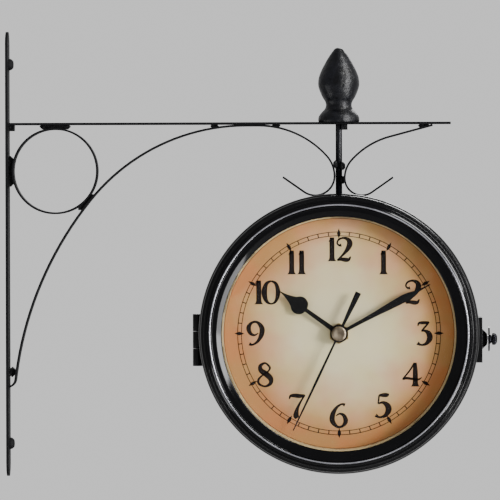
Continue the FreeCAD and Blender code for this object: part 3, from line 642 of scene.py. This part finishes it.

# ---------------------------------------------------------------- bezels
# Each bezel is one pressed and beaded steel ring, pushed over the end of the drum's band, with a skirt
# inside that holds glass, spacer and dial. It is enamelled gloss black, with a thin highlight painted along
# the crest of its bead as a light metallic line.
bezel_low, bezel_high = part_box("front_bezel")
glass_low, glass_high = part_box("front_glass")
rim_r = (bezel_high.x - bezel_low.x) / 2 / mm
crown, skirt_end = -bezel_low.y / mm, -bezel_high.y / mm
seat = -glass_low.y / mm
skirt_r, skirt_wall = (glass_high.x - drum.x) / mm + 0.15, 0.8
opening_r, band_r, band_end = 67.2, 76.6, 13.0
shoulder_fillet, shoulder_drop = 3.6, 8.2
crest_r, crest_width = 0.0733, 1 / 700      # metres: where the painted highlight line on the crest starts, and what it blends over
# (radius, depth below the crown), over the bead and its two small steps
bead = [(72.5, 1.75), (73.05, 1.5), (73.25, 0.75), (73.6, 0.2), (74.05, 0), (74.5, 0.12), (75.1, 0.48),
        (75.75, 0.98), (76.0, 1.35), (76.15, 1.75), (76.4, 1.8), (76.75, 1.72), (77.15, 1.9), (77.5, 2.35),
        (77.65, 3.0), (78.3, 3.6), (78.6, 3.95), (78.9, 3.95), (79.15, 4.2), (79.3, 4.9)]


def gloss_enamel(place):
    peel, dust = place.noise(260, 2), place.noise(60, 4)
    distance = about_axis(place)[2]
    # Painted highlight: a thin light grey metallic line along the crest of the bead, blended in at both
    # sides.
    painted_crest_highlight = ((distance - crest_r) * (1 / crest_width)).ramp((0.2, (0, 0, 0)), (0.4, (1, 1, 1)),
                                                             (0.62, (1, 1, 1)), (0.85, (0, 0, 0)))
    black = dust.ramp((0.3, tone(3, 3, 4)), (0.75, tone(7, 7, 9)))
    highlight_grey = dust.ramp((0.3, tone(120, 120, 126)), (0.75, tone(170, 170, 176)))
    return {"Base Color": black.mix(highlight_grey, painted_crest_highlight),
            "Metallic": painted_crest_highlight * 0.9,
            "Roughness": dust * 0.06 + 0.07 + painted_crest_highlight * 0.15,
            "Normal": place.bump(peel, 0.00002, 0.3)}


inner_slope = rounded([(opening_r, seat, 0), (opening_r + 0.05, crown - 3.5, 0.4), (70.4, crown - 1.9, 0.6),
                       (bead[0][0], crown - bead[0][1], 0)])[:-1]
beaded = [(r, crown - drop) for r, drop in smooth_line(bead, 4)]
shoulder = [(rim_r - shoulder_fillet + shoulder_fillet * math.cos(math.radians(a)),
             crown - shoulder_drop + shoulder_fillet * math.sin(math.radians(a))) for a in range(42, -1, -7)]
# The first corner only gives the line its direction, since the shoulder ends just above it.
inside = rounded([(rim_r, crown - 8.4, 0), (rim_r, crown - band_end, 0.9), (band_r, crown - band_end, 0.2),
                  (band_r, crown - 8.8, 0.5), (74.5, crown - 5.0, 0.5), (71.0, crown - 3.9, 0.4),
                  (skirt_r + skirt_wall, crown - 6.0, 0.3), (skirt_r + skirt_wall, skirt_end, 0.1),
                  (skirt_r, skirt_end, 0.1), (skirt_r, seat, 0)])[1:]
bezel_black = material("bezel_enamel_painted_highlight", gloss_enamel, Specular_IOR_Level=0.09)
bezel_profile = inner_slope + beaded + shoulder + inside
for face, body in half_body.items():
    ring = lathe(face + "_beaded_bezel", bezel_profile, about_dial(face), bezel_black, body,
                 turns=192, closed=True)
    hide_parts(face + "_bezel")

# ---------------------------------------------------------------- hasp and stud
# The hasp of the latch is pressed from thicker sheet, with a slot and a coned boss. It is tumbled and
# enamelled as the hinge leaves are, and closes over a bright steel stud on the rear half.
hasp_edge = 0.6
tumbled("latch_hasp", hasp_edge, "front_case")
give(steel, "latch_stud")

# ---------------------------------------------------------------- thumb nut and washer
# A turned knob with a fluted grip is screwed on the stud, against a thin washer. Both are plated with black
# nickel, which is bright where it catches the light.
nut_low, nut_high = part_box("thumb_nut")
nut_depth = (nut_high.x - nut_low.x) / mm
nut_r = (nut_high.z - nut_low.z) / 2 / mm
nut_back, nut_middle = nut_low.x / mm, (nut_low.z + nut_high.z) / 2 / mm
bore_r, foot_r, neck_r, end_r = 2.15, nut_r * 0.82, nut_r * 0.66, nut_r * 0.62
flutes, flute_share = 14, 0.06


def about_stud(r, angle, d):
    """Place round the stud. Points near the full radius lie in the flutes."""
    fluted = r * (1 - flute_share * (1 - math.cos(flutes * angle))) if r > nut_r * 0.9 else r
    return metres(nut_back + d, fluted * math.cos(angle), nut_middle + fluted * math.sin(angle))


def black_nickel(place):
    wear = place.noise(500, 3)
    return {"Base Color": wear.ramp((0.35, tone(14, 14, 16)), (0.7, tone(34, 34, 38))),
            "Roughness": wear * 0.15 + 0.1,
            "Normal": place.bump(wear, 0.00006, 0.4)}


dark_nickel = material("black_nickel", black_nickel, Metallic=1.0)
nut_profile = rounded([(bore_r, 0, 0), (foot_r, 0, 0.2), (foot_r, 0.5, 0.2), (neck_r, 0.8, 0.3),
                       (neck_r, 1.3, 0.3), (nut_r, 1.5, 0.25), (nut_r, nut_depth - 1.2, 0.5),
                       (end_r, nut_depth, 0.8), (0, nut_depth, 0), (0, nut_depth - 0.7, 0),
                       (bore_r, nut_depth - 0.8, 0)])
knob = lathe("fluted_thumb_nut", nut_profile, about_stud, dark_nickel, "latch_nut", turns=112)
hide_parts("thumb_nut")
give(dark_nickel, "thumb_washer")

# ---------------------------------------------------------------- floor and light
# A plain pale floor lies well below the clock, as if it hung on a wall. A soft lamp on the right lights it,
# and cards of light to each side that only show in gloss draw the lines along the black enamel.
floor_half, floor_height = 4, -1.5      # metres, as all sizes here
pale = bpy.data.materials.new("pale_floor")
pale.use_nodes = True
pale.node_tree.nodes["Principled BSDF"].inputs["Base Color"].default_value = (0.86, 0.86, 0.86, 1)
pale.node_tree.nodes["Principled BSDF"].inputs["Roughness"].default_value = 0.9
floor_mesh = bpy.data.meshes.new("floor")
floor_mesh.from_pydata([(floor_half * x, floor_half * y, floor_height)
                        for x, y in ((-1, -1), (1, -1), (1, 1), (-1, 1))], [], [(0, 1, 2, 3)])
floor_mesh.materials.append(pale)
floor = bpy.data.objects.new("floor", floor_mesh)
bpy.context.scene.collection.objects.link(floor)

sky = bpy.data.worlds.new("studio")
sky.use_nodes = True
sky.node_tree.nodes["Background"].inputs["Color"].default_value = (1, 1, 1, 1)
sky.node_tree.nodes["Background"].inputs["Strength"].default_value = 0.8
bpy.context.scene.world = sky


def soft_light(name, place, turn, width, height, watts):
    light = bpy.data.lights.new(name, "AREA")
    light.shape, light.size, light.size_y, light.energy = "RECTANGLE", width, height, watts
    holder = bpy.data.objects.new(name, light)
    holder.location, holder.rotation_euler = place, turn
    bpy.context.scene.collection.objects.link(holder)
    return holder


def lamp(name, around, off, distance, length, width, watts):
    """Light aimed at the drum, at an angle around the dial and an angle off the dial's axis."""
    around, off = math.radians(around), math.radians(off)
    away = Vector((math.sin(off) * math.cos(around), -math.cos(off), math.sin(off) * math.sin(around)))
    long_side = Vector((-math.sin(around), 0, math.cos(around)))
    turn = Matrix((long_side.cross(away), long_side, away)).transposed().to_euler()
    return soft_light(name, drum + away * distance, turn, width, length, watts)


lamp("main_lamp", 10, 46, 3.3, 1.1, 1.1, 145)
for card in (("middle_card", -12, 52, 2.6, 2.4, 0.8, 200), ("upper_card", 42, 70, 2.6, 2.2, 0.5, 210),
             ("lower_card", -42, 66, 2.6, 1.6, 0.25, 110), ("left_card", 212, 70, 2.6, 1.4, 0.25, 40)):
    lamp(*card).visible_diffuse = False
behind = Vector((0.6, 2.2, 1.2))
soft_light("back_lamp", behind, (drum - behind).to_track_quat("-Z", "Y").to_euler(), 1.0, 1.0, 30)

# ---------------------------------------------------------------- camera
# A long lens far in front of the clock, a little to the right of it and hardly above its middle, so that arm
# and dial are seen almost square on.
look_at = Vector((0.1415, 0, 0.0020))       # metres, as the distance is
distance, azimuth, elevation, roll = 2.7, math.radians(1.5), math.radians(0.6), math.radians(-0.15)
lens = bpy.data.cameras.new("camera")
lens.lens, lens.sensor_width = 335, 36
camera = bpy.data.objects.new("camera", lens)
camera.location = look_at + distance * Vector((math.sin(azimuth) * math.cos(elevation),
                                               -math.cos(azimuth) * math.cos(elevation), math.sin(elevation)))
camera.rotation_euler = (look_at - camera.location).to_track_quat("-Z", "Y").to_euler()
camera.rotation_euler.rotate_axis("Z", roll)
bpy.context.scene.collection.objects.link(camera)
bpy.context.scene.camera = camera

bpy.context.view_layer.update()
